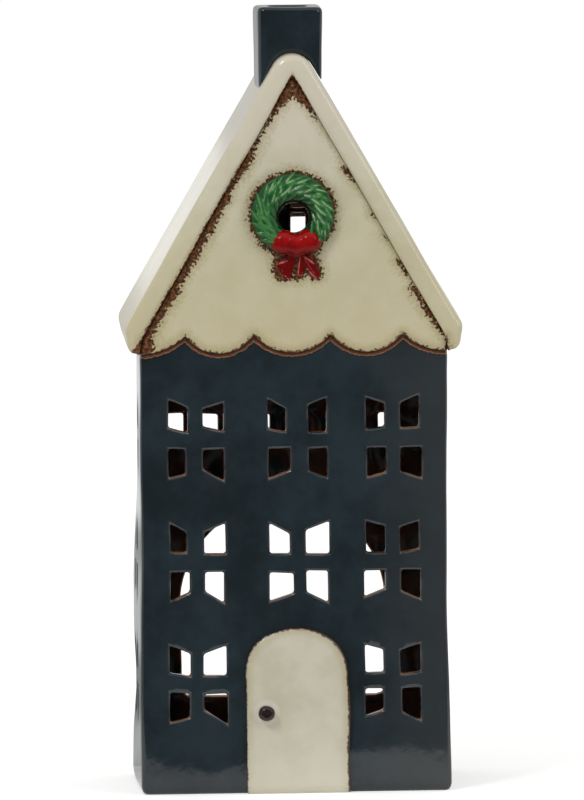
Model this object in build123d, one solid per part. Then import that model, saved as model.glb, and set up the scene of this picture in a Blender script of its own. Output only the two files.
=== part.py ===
from build123d import *
import math
import os

# A three-floor tealight house, hand built from rolled slabs of clay that are luted face to face.
# Sizes are in millimetres. The origin is under the middle of the base, the front faces -Y, up is +Z.

# Body
body_width = 120
body_depth = 80
wall = 6
floor_thickness = 6
roof_pitch = 60
wall_corner_radius = 2

# Roof slabs, mitred at the ridge, with a lip that hangs over each side wall
roof_thickness = 8.3
roof_overhang = 5
eave_reach = 7.6
eave_lip = 6.8
eave_radius = 4.5
rim_radius = 3
rim_inner_radius = 1.2

# Scalloped panels on the two gables
panel_thickness = 2.5
scallop_drop = 5.6
cusp_rise = 7.2
front_cusp_shares = (-0.71, -0.26, 0.24, 0.715)
back_cusp_shares = (-0.715, -0.24, 0.24, 0.715)

# Four-pane windows, cut with a knife so that the outer side of each pane is the taller one
pane_width = 7.7
pane_outer_height = 12.4
pane_inner_height = 9.6
mullion = 6
transom = 6.3
ground_window_height = 43.9
storey_height = 48
storeys = 3
top_window_to_eave = 40.1
front_column_shares = (-0.642, 0.018, 0.652)
back_column_shares = (-0.645, -0.05, 0.557)
back_window_lift = 9.1
attic_window_share = 0.4417
attic_window_offset = -1.2

# Arch in the back wall, through which the tealight goes in
arch_width = 80
arch_spring_height = 66.7
arch_sill_height = 30
arch_sill_radius = 4
arch_offset = -1.5

# Chimney, a square tube notched over the ridge
chimney_width = 25
chimney_depth = 26
chimney_rise = 18
chimney_wall = 6
chimney_corner_radius = 2.5
chimney_lip_radius = 1.2
flue_corner_radius = 1.5
chimney_setback = 10
chimney_offset = -1

# Door relief and its knob
door_width = 41
door_spring_height = 45
door_thickness = 2.5
door_edge_radius = 1
door_offset = 0.3
knob_radius = 3
knob_sink = 1.2
knob_from_door_side = 7.8
knob_height = 32.2

# Wreath: a ring of leaves that all lean the same way round, over a sight hole
wreath_place_share = 0.4716
wreath_outer_radius = 16.2
sight_hole_radius = 5.9
sight_hole_drop = 1.3
wreath_relief = 5.6
wreath_core_share = 0.86
core_sides = 10
leaf_length = 13.8
leaf_width = 4.4
leaf_thickness = 4
leaf_sink_share = 0.25
leaf_splay = 40
leaf_lift = 8
leaves_in_ring = 22
leaf_row_share = 0.48
luting_gap = 0.15

# Bow: two plump loops that all but merge, a knot and three tails
loop_length = 12.4
loop_height = 9.4
loop_relief = 7.2
loop_spread = 4.9
loop_tilt = 20
bow_drop = 11.2
bow_offset = 0.8
knot_width = 6.4
knot_height = 4.6
knot_relief = 6.6
knot_drop = 15.9
plump_share = 0.7
tail_length = 9.6
tail_end_width = 6.2
tail_root_width = 2.2
tail_fan = 36
tails = 3

# Tealight: standard cup, wax, steel sustainer and wick
cup_radius = 19.2
cup_height = 16
cup_skin = 0.4
cup_draft = 0.5
cup_rim = 0.7
cup_from_front_wall = 2.8
wax_height = 13
wax_play = 0.15
wax_edge_fall = 1.2
sustainer_radius = 6.5
sustainer_skin = 0.4
sustainer_neck_radius = 1.5
sustainer_neck_height = 3.2
wick_radius = 0.8
wick_play = 0.06
wick_above_wax = 6

# One overrun serves every cut that has to run clear of a surface, and a hair is as good as touching
overrun = 1
hair = 0.01

half_width = body_width / 2
half_depth = body_depth / 2
front_face = -half_depth
back_face = half_depth
panel_face = front_face - panel_thickness
door_face = front_face - door_thickness
roof_front = front_face - roof_overhang
roof_back = back_face + roof_overhang
window_heights = [ground_window_height + storey_height * level for level in range(storeys)]
eave_height = window_heights[-1] + top_window_to_eave
slope = math.tan(math.radians(roof_pitch))
pitch_cosine = math.cos(math.radians(roof_pitch))
pitch_sine = math.sin(math.radians(roof_pitch))
inner_ridge = eave_height + half_width * slope
outer_ridge = inner_ridge + roof_thickness
eave_x = half_width + eave_reach
eave_corner = (eave_x, inner_ridge + roof_thickness / pitch_cosine - eave_x * slope)
wreath_height = eave_height + (inner_ridge - eave_height) * wreath_place_share
attic_window_height = eave_height + (inner_ridge - eave_height) * attic_window_share
chimney_y = roof_front + chimney_setback + chimney_depth / 2
underside_middle = (half_width / 2, 0, (inner_ridge + eave_height) / 2)


def standing(outline, back_y, thickness):
    """Stand an outline drawn as (x, z) upright, from back_y towards the front."""
    upright = Plane(origin=(0, back_y, 0), x_dir=(1, 0, 0), z_dir=(0, -1, 0))
    return extrude(upright * outline, amount=thickness)


def pane():
    """One pane, upper right of its window."""
    near_x = mullion / 2
    far_x = near_x + pane_width
    near_z = transom / 2
    corners = [
        (near_x, near_z),
        (far_x, near_z),
        (far_x, near_z + pane_outer_height),
        (near_x, near_z + pane_inner_height),
    ]
    return make_face(Polyline(*corners, close=True))


def window():
    """Four panes about the window's middle."""
    right_side = pane() + mirror(pane(), about=Plane.XZ)
    return right_side + mirror(right_side, about=Plane.YZ)


def gable_outline():
    """A wall's outline up to the underside of the roof."""
    corners = [
        (-half_width, 0),
        (half_width, 0),
        (half_width, eave_height),
        (0, inner_ridge),
        (-half_width, eave_height),
    ]
    return make_face(Polyline(*corners, close=True))


def scalloped_outline(cusp_shares):
    """A gable panel: its slopes follow the roof and its lower edge is a row of round lobes."""
    lobe_z = eave_height - scallop_drop
    cusp_z = lobe_z + cusp_rise
    cusps = [(share * half_width, cusp_z) for share in cusp_shares]
    left_end = (-half_width, lobe_z)
    left_eave = (-half_width, eave_height)
    right_eave = (half_width, eave_height)
    right_end = (half_width, lobe_z)
    sides = Polyline(left_end, left_eave, (0, inner_ridge), right_eave, right_end)
    edges = list(sides.edges())
    edges.append(TangentArc(left_end, cusps[0], tangent=(1, 0)))
    for start, end in zip(cusps, cusps[1:]):
        lowest = ((start[0] + end[0]) / 2, lobe_z)
        edges.append(ThreePointArc(start, lowest, end))
    edges.append(TangentArc(right_end, cusps[-1], tangent=(-1, 0)))
    return make_face(edges)


def arch_outline():
    """The candle's way in: a round arch on a flat sill with eased corners."""
    radius = arch_width / 2
    left_x = arch_offset - radius
    right_x = arch_offset + radius
    opening = make_face([
        Line((left_x, arch_spring_height), (left_x, arch_sill_height)),
        Line((left_x, arch_sill_height), (right_x, arch_sill_height)),
        Line((right_x, arch_sill_height), (right_x, arch_spring_height)),
        ThreePointArc(
            (right_x, arch_spring_height),
            (arch_offset, arch_spring_height + radius),
            (left_x, arch_spring_height),
        ),
    ])
    sill_corners = opening.vertices().group_by(Axis.Y)[0]
    return fillet(sill_corners, arch_sill_radius)


def door_outline():
    """The raised door: a tall round-headed slab that stands on the base line."""
    radius = door_width / 2
    left_x = door_offset - radius
    right_x = door_offset + radius
    return make_face([
        Line((left_x, door_spring_height), (left_x, 0)),
        Line((left_x, 0), (right_x, 0)),
        Line((right_x, 0), (right_x, door_spring_height)),
        ThreePointArc(
            (right_x, door_spring_height),
            (door_offset, door_spring_height + radius),
            (left_x, door_spring_height),
        ),
    ])


def sight_hole():
    """The round hole behind the wreath, a little under its middle."""
    return Pos(0, wreath_height - sight_hole_drop) * Circle(sight_hole_radius)


def attic_window():
    return Pos(attic_window_offset, attic_window_height) * window()


def weather_side():
    """The top of the roof's right half: the ridge's round and the slope down to the eave."""
    ridge_round = CenterArc((0, inner_ridge), roof_thickness, 90 - roof_pitch, roof_pitch)
    return [ridge_round, Line(ridge_round @ 0, eave_corner)]


def roof_outline():
    """Section of the right roof slab, with its rounded eave and the lip on the wall."""
    lip = (half_width, eave_height - eave_lip)
    section = make_face(weather_side() + [
        Line(eave_corner, lip),
        Line(lip, (half_width, eave_height)),
        Line((half_width, eave_height), (0, inner_ridge)),
        Line((0, inner_ridge), (0, outer_ridge)),
    ])
    eave = section.vertices().sort_by_distance((*eave_corner, 0))[0]
    return fillet(eave, eave_radius)


def roof_core_outline():
    """The roof's right half as a filled section, to notch the chimney."""
    return make_face(weather_side() + [
        Line(eave_corner, (eave_x, 0)),
        Line((eave_x, 0), (0, 0)),
        Line((0, 0), (0, outer_ridge)),
    ])


def flue():
    """The air shaft inside the chimney, which runs down through the ridge into the attic."""
    width = chimney_width - 2 * chimney_wall
    depth = chimney_depth - 2 * chimney_wall
    shaft = RectangleRounded(width, depth, flue_corner_radius)
    place = Pos(chimney_offset, chimney_y, eave_height)
    return place * extrude(shaft, amount=outer_ridge + chimney_rise - eave_height + overrun)


def corner_eased(slab, outer_y):
    """Round the two upright corners of a front or back wall that show."""
    uprights = slab.edges().filter_by(Axis.Z).filter_by_position(Axis.Y, outer_y, outer_y)
    corners = [edge for edge in uprights if abs(abs(edge.center().X) - half_width) < hair]
    return fillet(corners, wall_corner_radius)


def front_wall():
    openings = sight_hole()
    for height in window_heights:
        for share in front_column_shares:
            x = share * half_width
            behind_door = height == window_heights[0] and share == front_column_shares[1]
            if not behind_door:
                openings += Pos(x, height) * window()
    slab = standing(gable_outline() - openings, front_face + wall, wall)
    return corner_eased(slab, front_face)


def back_wall():
    openings = arch_outline() + attic_window()
    for share in back_column_shares:
        openings += Pos(share * half_width, window_heights[-1] + back_window_lift) * window()
    slab = standing(gable_outline() - openings, back_face, wall)
    return corner_eased(slab, back_face)


def right_wall():
    """Between the front and back walls; its top is bevelled to the roof's pitch."""
    inner_x = half_width - wall
    section = make_face(Polyline(
        (inner_x, 0),
        (half_width, 0),
        (half_width, eave_height),
        (inner_x, eave_height + wall * slope),
        close=True,
    ))
    slab = standing(section, back_face - wall, body_depth - 2 * wall)
    sideways = Plane(origin=(inner_x - overrun, 0, 0), x_dir=(0, 1, 0), z_dir=(1, 0, 0))
    for height in window_heights:
        slab -= extrude(sideways * Pos(0, height) * window(), amount=wall + 2 * overrun)
    return slab


def roof_slab():
    """The right slab before the flue is cut through it."""
    length = roof_back - roof_front
    slab = standing(roof_outline(), roof_back, length)
    for end_y in (roof_front, roof_back):
        rim = slab.edges().filter_by_position(Axis.Y, end_y, end_y)
        outside = [edge for edge in rim if on_weather_side(edge.center())]
        slab = fillet(outside, rim_radius)
        rim = slab.edges().filter_by_position(Axis.Y, end_y, end_y)
        underside = rim.filter_by(GeomType.LINE).sort_by_distance(underside_middle)[0]
        slab = fillet(underside, rim_inner_radius)
    return slab


def on_weather_side(point):
    """Whether a point of a roof end is off the mitre, the underside and the wall."""
    above_underside = point.Z + point.X * slope - inner_ridge
    return point.X > hair and above_underside > hair and point.Z > hair and not (
        abs(point.X - half_width) < hair and point.Z < eave_height
    )


def gable_panel(cusp_shares, back_y):
    return standing(scalloped_outline(cusp_shares), back_y, panel_thickness)


def chimney():
    """A tube with rounded corners, cut underneath to sit over the ridge."""
    outside = RectangleRounded(chimney_width, chimney_depth, chimney_corner_radius)
    place = Pos(chimney_offset, chimney_y, eave_height)
    block = place * extrude(outside, amount=outer_ridge + chimney_rise - eave_height)
    lip_edges = block.faces().sort_by(Axis.Z)[-1].edges()
    block = fillet(lip_edges, chimney_lip_radius)
    half_roof = standing(roof_core_outline(), roof_back, roof_back - roof_front)
    return block - half_roof - mirror(half_roof, about=Plane.YZ) - flue()


def door_panel():
    slab = standing(door_outline(), front_face, door_thickness)
    front = slab.faces().sort_by(Axis.Y)[0]
    rounded = [edge for edge in front.edges() if edge.center().Z > hair]
    return fillet(rounded, door_edge_radius)


def door_knob():
    """A ball of clay pressed on to the door."""
    x = door_offset - door_width / 2 + knob_from_door_side
    ball = Pos(x, door_face - knob_radius + knob_sink, knob_height) * Sphere(knob_radius)
    return split(ball, bisect_by=Plane(origin=(0, door_face, 0), z_dir=(0, -1, 0)))


def on_panel(x, z):
    """A frame on the front gable panel: local z points out of the gable, local y points up."""
    return Plane(origin=(x, panel_face, z), x_dir=(1, 0, 0), z_dir=(0, -1, 0))


def pillow(length, height, relief, grown):
    """A plump lump of clay, long in X: a slot pressed flat behind, its front edge rolled over."""
    slot = SlotOverall(length + 2 * grown, height + 2 * grown)
    lump = extrude(slot, amount=relief + grown)
    front_edges = lump.faces().sort_by(Axis.Z)[-1].edges()
    return fillet(front_edges, height / 2 * plump_share)


def above_panel(body):
    """Keep what stands in front of the gable panel."""
    return split(body, bisect_by=Plane(origin=(0, panel_face, 0), z_dir=(0, -1, 0)))


def knot_body(grown=0):
    frame = on_panel(bow_offset, wreath_height - knot_drop)
    return frame * pillow(knot_width, knot_height, knot_relief, grown)


def loops_body(grown=0):
    """Two loops that meet under the knot and tilt up and outwards."""
    frame = on_panel(bow_offset, wreath_height - bow_drop)
    loop = pillow(loop_length, loop_height, loop_relief, grown)
    left, right = [Pos(side * loop_spread, 0) * Rot(0, 0, side * loop_tilt) * loop for side in (-1, 1)]
    return frame * (left + right)


def tail_angles():
    return [tail_fan * (2 * number / (tails - 1) - 1) for number in range(tails)]


def tails_body():
    """Half cones that fan out from under the knot."""
    frame = on_panel(bow_offset, wreath_height - knot_drop)
    cone = Cone(tail_root_width / 2, tail_end_width / 2, tail_length)
    tail = Rot(90, 0, 0) * Pos(0, 0, tail_length / 2) * cone
    fan = Part()
    for angle in tail_angles():
        fan += Rot(0, 0, angle) * tail
    return frame * fan


def bow_footprint():
    """What the bow covers of the gable, and a luting gap around it."""
    loop_place = Pos(bow_offset, wreath_height - bow_drop)
    knot_place = Pos(bow_offset, wreath_height - knot_drop)
    lobe = SlotOverall(loop_length + 2 * luting_gap, loop_height + 2 * luting_gap)
    footprint = knot_place * Rectangle(knot_width, knot_height)
    for side in (-1, 1):
        footprint += loop_place * Pos(side * loop_spread, 0) * Rot(0, 0, side * loop_tilt) * lobe
    root = tail_root_width / 2 + luting_gap
    end = tail_end_width / 2 + luting_gap
    corners = [(-root, 0), (root, 0), (end, -tail_length), (-end, -tail_length)]
    tail = make_face(Polyline(*corners, close=True))
    for angle in tail_angles():
        footprint += knot_place * Rot(0, 0, angle) * tail
    return footprint


def bow_knot():
    return above_panel(knot_body())


def bow_loops():
    return above_panel(loops_body() - knot_body(luting_gap))


def bow_tails():
    return above_panel(tails_body() - knot_body(luting_gap) - loops_body(luting_gap))


def leaf():
    """A pointed leaf with a ridge, long in X, as it comes from two strokes of a knife."""
    middle = Plane.YZ * make_face(Polyline(
        (-leaf_width / 2, 0),
        (0, leaf_thickness / 2),
        (leaf_width / 2, 0),
        (0, -leaf_thickness / 2),
        close=True,
    ))
    stem = Vertex(-leaf_length / 2, 0, 0)
    tip = Vertex(leaf_length / 2, 0, 0)
    return loft([stem, middle, tip], ruled=True)


def wreath():
    """A ring of leaves that lean clockwise and outwards across a facetted core, with room for the bow."""
    ring_width = wreath_outer_radius - sight_hole_radius
    core_radius = ring_width / 2 * wreath_core_share
    core_centre = sight_hole_radius + core_radius
    core_rise = wreath_relief * wreath_core_share - core_radius
    leaf_seat = core_rise + core_radius - leaf_thickness * leaf_sink_share
    leaf_ring = sight_hole_radius + ring_width * leaf_row_share
    lean = Rot(0, 0, leaf_splay - 90) * Rot(0, leaf_lift, 0)
    section = Plane.XZ * Pos(core_centre, core_rise) * RegularPolygon(core_radius, core_sides)
    core = Pos(0, -sight_hole_drop) * revolve(section, axis=Axis.Z)
    leaves = [
        Rot(0, 0, 360 * number / leaves_in_ring) * Pos(leaf_ring, 0, leaf_seat) * lean * leaf()
        for number in range(leaves_in_ring)
    ]
    ring = above_panel(on_panel(0, wreath_height) * (core + leaves))
    reach = 2 * wreath_relief + overrun
    ring -= standing(sight_hole() + bow_footprint(), panel_face + overrun, reach)
    return ring.solids().sort_by(SortBy.VOLUME)[-1]


def tealight_frame():
    """The tealight stands on the floor, pushed forward under the windows."""
    return Pos(0, front_face + wall + cup_from_front_wall + cup_radius, floor_thickness)


def turned(points):
    """Turn a section, drawn as (radius, z), about the tealight's axis."""
    section = Plane.XZ * make_face(Polyline(*points, close=True))
    return tealight_frame() * revolve(section, axis=Axis.Z)


def tealight_cup():
    """A drawn aluminium cup with a little draft and a curled rim."""
    foot_radius = cup_radius - cup_rim - cup_draft
    mouth_radius = cup_radius - cup_rim
    return turned([
        (0, 0),
        (foot_radius, 0),
        (mouth_radius, cup_height - cup_rim),
        (cup_radius, cup_height - cup_rim),
        (cup_radius, cup_height),
        (mouth_radius - cup_skin, cup_height),
        (foot_radius - cup_skin, cup_skin),
        (0, cup_skin),
    ])


def tealight_wax():
    """Poured wax with a bore for the wick and a seat for the sustainer."""
    foot_radius = cup_radius - cup_rim - cup_draft - cup_skin - wax_play
    bore = wick_radius + wick_play
    seat_radius = sustainer_radius + wax_play
    seat_top = cup_skin + sustainer_skin + wax_play
    neck_radius = sustainer_neck_radius + wax_play
    neck_top = cup_skin + sustainer_neck_height + wax_play
    wax_top = cup_skin + wax_height
    return turned([
        (bore, neck_top),
        (neck_radius, neck_top),
        (neck_radius, seat_top),
        (seat_radius, seat_top),
        (seat_radius, cup_skin),
        (foot_radius, cup_skin),
        (foot_radius, wax_top - wax_edge_fall),
        (foot_radius - wax_edge_fall, wax_top),
        (bore, wax_top),
    ])


def wick_sustainer():
    """A pressed steel disc with a neck that is crimped round the wick."""
    bore = wick_radius + wick_play
    return turned([
        (bore, cup_skin),
        (sustainer_radius, cup_skin),
        (sustainer_radius, cup_skin + sustainer_skin),
        (sustainer_neck_radius, cup_skin + sustainer_skin),
        (sustainer_neck_radius, cup_skin + sustainer_neck_height),
        (bore, cup_skin + sustainer_neck_height),
    ])


def tealight_wick():
    length = wax_height + wick_above_wax
    stem = Cylinder(wick_radius, length, align=(Align.CENTER, Align.CENTER, Align.MIN))
    return tealight_frame() * Pos(0, 0, cup_skin) * stem


def floor_slab():
    inside = Rectangle(body_width - 2 * wall, body_depth - 2 * wall)
    return extrude(inside, amount=floor_thickness)


def pierced(panel):
    """The front panel has the sight hole, the back panel the attic window."""
    hole = sight_hole() if panel.center().Y < 0 else attic_window()
    return panel - standing(hole, panel.bounding_box().max.Y, panel_thickness)


parts = {
    "floor_slab": floor_slab(),
    "front_wall": front_wall(),
    "back_wall": back_wall(),
    "right_wall": right_wall(),
    "left_wall": mirror(right_wall(), about=Plane.YZ),
    "right_roof_slab": roof_slab() - flue(),
    "left_roof_slab": mirror(roof_slab(), about=Plane.YZ) - flue(),
    "front_gable_panel": pierced(gable_panel(front_cusp_shares, front_face)),
    "back_gable_panel": pierced(gable_panel(back_cusp_shares, back_face + panel_thickness)),
    "chimney": chimney(),
    "door_panel": door_panel(),
    "door_knob": door_knob(),
    "wreath": wreath(),
    "bow_loops": bow_loops(),
    "bow_knot": bow_knot(),
    "bow_tails": bow_tails(),
    "tealight_cup": tealight_cup(),
    "tealight_wax": tealight_wax(),
    "wick_sustainer": wick_sustainer(),
    "tealight_wick": tealight_wick(),
}

os.makedirs("parts", exist_ok=True)
for name, body in parts.items():
    export_step(body, f"parts/{name}.step")
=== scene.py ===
import math
import random

import bmesh
import bpy
import numpy as np
from mathutils import Matrix, Vector, noise


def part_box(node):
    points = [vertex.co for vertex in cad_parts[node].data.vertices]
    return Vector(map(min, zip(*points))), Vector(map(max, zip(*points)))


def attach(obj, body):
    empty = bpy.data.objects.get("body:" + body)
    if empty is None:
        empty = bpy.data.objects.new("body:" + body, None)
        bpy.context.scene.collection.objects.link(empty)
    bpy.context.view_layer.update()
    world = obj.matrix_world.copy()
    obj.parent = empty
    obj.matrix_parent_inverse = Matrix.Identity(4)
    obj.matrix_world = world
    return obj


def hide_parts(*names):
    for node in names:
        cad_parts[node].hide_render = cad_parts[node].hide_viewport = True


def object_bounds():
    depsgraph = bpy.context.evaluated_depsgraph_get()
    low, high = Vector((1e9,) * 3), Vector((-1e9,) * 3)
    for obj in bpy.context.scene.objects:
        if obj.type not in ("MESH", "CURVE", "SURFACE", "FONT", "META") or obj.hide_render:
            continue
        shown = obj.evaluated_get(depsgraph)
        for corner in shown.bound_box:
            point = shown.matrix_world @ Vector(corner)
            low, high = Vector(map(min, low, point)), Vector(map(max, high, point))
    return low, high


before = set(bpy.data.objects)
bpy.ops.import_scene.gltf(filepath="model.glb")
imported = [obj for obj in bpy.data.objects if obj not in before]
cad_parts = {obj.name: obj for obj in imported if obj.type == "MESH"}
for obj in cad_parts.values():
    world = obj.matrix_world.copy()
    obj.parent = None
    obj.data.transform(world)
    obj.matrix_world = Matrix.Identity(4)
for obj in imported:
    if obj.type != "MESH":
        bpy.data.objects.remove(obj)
cad_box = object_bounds()
mm = 0.001
upright = (math.radians(90), 0, 0)

# The table and the light: a sheet of white paper that ends a hand's breadth in front of the house, in a
# white room with dark curtains behind the photographer and at both sides. A lamp hangs at the upper left
# and a weaker one at the right. The camera is a long lens a little left of the door and above its middle.
camera_distance = 5
photo_height = 315 * mm
view_azimuth = math.radians(-2.3)
view_elevation = math.radians(4.5)
view_roll = math.radians(-0.65)
aim = Vector((-0.85 * mm, -40 * mm, 155.6 * mm))
paper_front_edge = -166 * mm
paper_reach = 3
paper_glow = 0.48
room_light = 0.62
curtain_walls = (((0, -9, 0), (90, 0, 0), 14), ((-5, -5, 0), (0, 90, 0), 8), ((5, -5, 0), (0, 90, 0), 8))


def feed(node, inputs):
    """Give each named socket of a node a value or another node's output."""
    for name, value in dict(inputs).items():
        if isinstance(value, bpy.types.NodeSocket):
            node.id_data.links.new(value, node.inputs[name])
        else:
            node.inputs[name].default_value = value


def add(beside, kind, inputs=(), out=0, **settings):
    """Add a node to the tree that a node or a socket is in; returns one of its outputs."""
    node = beside.id_data.nodes.new(kind)
    for name, value in settings.items():
        setattr(node, name, value)
    feed(node, inputs)
    return node.outputs[out]


def maths(operation, *values):
    beside = next(value for value in values if isinstance(value, bpy.types.NodeSocket))
    return add(beside, "ShaderNodeMath", enumerate(values), operation=operation)


def times(product, *factors):
    for factor in factors:
        product = maths("MULTIPLY", product, factor)
    return product


def ranged(value, source=(0, 1), target=(0, 1)):
    """The target range, as a value runs through the source range."""
    return add(value, "ShaderNodeMapRange", {"Value": value, "From Min": source[0], "From Max": source[1],
                                             "To Min": target[0], "To Max": target[1]})


def axis(place, number):
    return add(place, "ShaderNodeSeparateXYZ", {"Vector": place}, out=number)


def linear(hex_colour):
    """An sRGB hex colour as the linear values that a shader takes."""
    channels = [int(hex_colour[start:start + 2], 16) / 255 for start in (1, 3, 5)]
    return [c / 12.92 if c <= 0.04045 else ((c + 0.055) / 1.055) ** 2.4 for c in channels] + [1]


def curved(value, stops):
    """A value between 0 and 1 turned into another by a curve through some stops."""
    curve = value.id_data.nodes.new("ShaderNodeFloatCurve")
    points = curve.mapping.curves[0].points
    while len(points) < len(stops):
        points.new(0.5, 0.5)
    for point, stop in zip(points, stops):
        point.location = stop
    curve.mapping.update()
    feed(curve, {"Value": value})
    return curve.outputs[0]


def new_material(name, values):
    """A material with these values on its shader, the shader and the place on the object."""
    material = bpy.data.materials.new(name)
    material.use_nodes = True
    shader = material.node_tree.nodes["Principled BSDF"]
    feed(shader, values)
    return material, shader, add(shader, "ShaderNodeTexCoord", out="Object")


def primitive(operator, **settings):
    """Add a primitive, with its place in its mesh."""
    bpy.ops.object.select_all(action="DESELECT")
    operator(**settings)
    bpy.ops.object.transform_apply()
    return bpy.context.object


def put(name, data):
    """A new object at the origin of the scene."""
    item = bpy.data.objects.new(name, data)
    bpy.context.scene.collection.objects.link(item)
    return item


def seen_as_white(beside):
    """1 for the rays that show the background: straight to the camera, mirrored and through glass."""
    straight, mirrored, through = [add(beside, "ShaderNodeLightPath", out="Is %s Ray" % kind)
                                   for kind in ("Camera", "Glossy", "Transmission")]
    return maths("MAXIMUM", maths("MAXIMUM", straight, mirrored), through)


room = bpy.data.worlds.new("white_room")
room.use_nodes = True
bpy.context.scene.world = room
background = room.node_tree.nodes["Background"]
feed(background, {"Color": (1, 1, 1, 1),
                  "Strength": ranged(seen_as_white(background), target=(room_light, 1))})

paper = primitive(bpy.ops.mesh.primitive_plane_add, size=2 * paper_reach,
                  location=(0, paper_front_edge + paper_reach, 0))
paper.name = "paper_sheet"
paper_white, shader, place = new_material("matt_white_paper", {
    "Base Color": linear("#eeeeec"), "Roughness": 0.9, "Specular IOR Level": 0.1,
    "Emission Color": (1, 1, 1, 1)})
mirrored = add(place, "ShaderNodeLightPath", out="Is Glossy Ray")
# Mirrored rays see the paper dimmer behind the house: a painted shadow of the house on the paper, seen only
# in reflections.
painted_shade_behind = ranged(axis(place, 1), (-20 * mm, 50 * mm))
glow = maths("SUBTRACT", seen_as_white(place), times(mirrored, painted_shade_behind))
feed(shader, {"Emission Strength": times(glow, paper_glow)})
paper.data.materials.append(paper_white)

dark_cloth = new_material("dark_curtain", {"Base Color": (0, 0, 0, 1), "Specular IOR Level": 0,
                                           "Emission Color": linear("#5f6468"), "Emission Strength": 1})[0]
curtains = []
for place, turn, size in curtain_walls:
    curtain = primitive(bpy.ops.mesh.primitive_plane_add, size=size, location=place,
                        rotation=[math.radians(angle) for angle in turn])
    curtain.name = "dark_curtain"
    curtain.data.materials.append(dark_cloth)
    curtains.append(curtain)

# A card close behind the house, mirrored in the flank that the camera sees edge on. It glows and is seen only
# in reflections, so its bands are a painted reflection of the room. Each pair is a height in metres and how
# bright the card is there.
reflection_card_greys = ((0, 0.42), (0.011, 0.5), (0.026, 0.27), (0.042, 0.34), (0.058, 0.6), (0.074, 0.6),
              (0.09, 0.4), (0.106, 0.85), (0.122, 0.62), (0.138, 0.6), (0.154, 0.9), (0.18, 0.62),
              (0.2, 0.9), (0.215, 1.1), (0.25, 1.05), (0.264, 0.6), (1, 0.6))
card_gap = 70 * mm
card_size = 3
grey_card = primitive(bpy.ops.mesh.primitive_plane_add, size=card_size, location=(0, card_gap, card_size / 2),
                      rotation=upright)
grey_card.name = "grey_card_behind"
card_grey, shader, place = new_material("grey_card", {
    "Base Color": (0, 0, 0, 1), "Specular IOR Level": 0, "Emission Color": (1, 1, 1, 1)})
feed(shader, {"Emission Strength": curved(axis(place, 2), reflection_card_greys)})
grey_card.data.materials.append(card_grey)
for ray in ("camera", "diffuse", "shadow", "transmission"):
    for screen in (grey_card, *curtains):
        setattr(screen, "visible_" + ray, False)


def hang_lamp(name, place, size, watts):
    lamp = put(name, bpy.data.lights.new(name, "AREA"))
    lamp.data.shape = "SQUARE"
    lamp.data.size = size
    lamp.data.energy = watts
    lamp.location = place
    lamp.rotation_euler = (Vector(place) - aim).to_track_quat("Z", "Y").to_euler()


hang_lamp("upper_left_lamp", (-1.5, -2.2, 2.3), 0.7, 26)
hang_lamp("right_lamp", (2.2, -1.8, 1.4), 0.9, 9)

camera = put("camera", bpy.data.cameras.new("camera"))
bpy.context.scene.camera = camera
towards_camera = Vector((math.sin(view_azimuth) * math.cos(view_elevation),
                         -math.cos(view_azimuth) * math.cos(view_elevation), math.sin(view_elevation)))
camera.location = aim + towards_camera * camera_distance
level = towards_camera.to_track_quat("Z", "Y").to_matrix()
camera.rotation_euler = (level @ Matrix.Rotation(view_roll, 3, "Z")).to_euler()
camera.data.lens = camera.data.sensor_width * camera_distance / photo_height
bpy.context.scene.view_settings.view_transform = "Standard"


# The body: four walls of rolled clay, luted into a tube, with the panes and the rear arch cut out by hand
# while it was leather hard. It is fired with a glossy dark blue-teal glaze that clouds where it pooled
# and turns a greyish brown where it ran thin over the cut edges, with a painted highlight on the edges that
# look up. Inside, orange clay shows in patches, painted brighter on the sills as painted light. The front is
# painted lighter towards its right end, and a painted highlight line runs under the scallops.
half_width = 60 * mm
half_depth = 40 * mm
eave_height = 180 * mm
ridge_height = 283.92 * mm
wall = 6 * mm
mullion = 3 * mm
pane_far_x = 10.7 * mm
transom = 3.2 * mm
pane_far_z = 15.5 * mm
floors = {"ground": 43.9 * mm, "middle": 91.9 * mm, "top": 139.9 * mm}
front_columns = (-38.5 * mm, 1.1 * mm, 39.1 * mm)
back_columns = (-38.7 * mm, -3 * mm, 33.4 * mm)
back_window_height = 149 * mm
attic_height = 225.9 * mm
attic_middle = -1.2 * mm
attic_transom = 1.1 * mm
arch_middle = -2.2 * mm
arch_radius = 40.7 * mm
arch_spring = 68.3 * mm
arch_sill = 31.2 * mm
wreath_height = 229 * mm
sight_drop = 1.3 * mm
sight_radius = 5.9 * mm
corner_radius = 2 * mm
cut_edge = 0.95 * mm
gable_height = 104 * mm
slope_sine = math.sin(math.radians(60))
slope_cosine = math.cos(math.radians(60))
hair = 0.1 * mm

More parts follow.
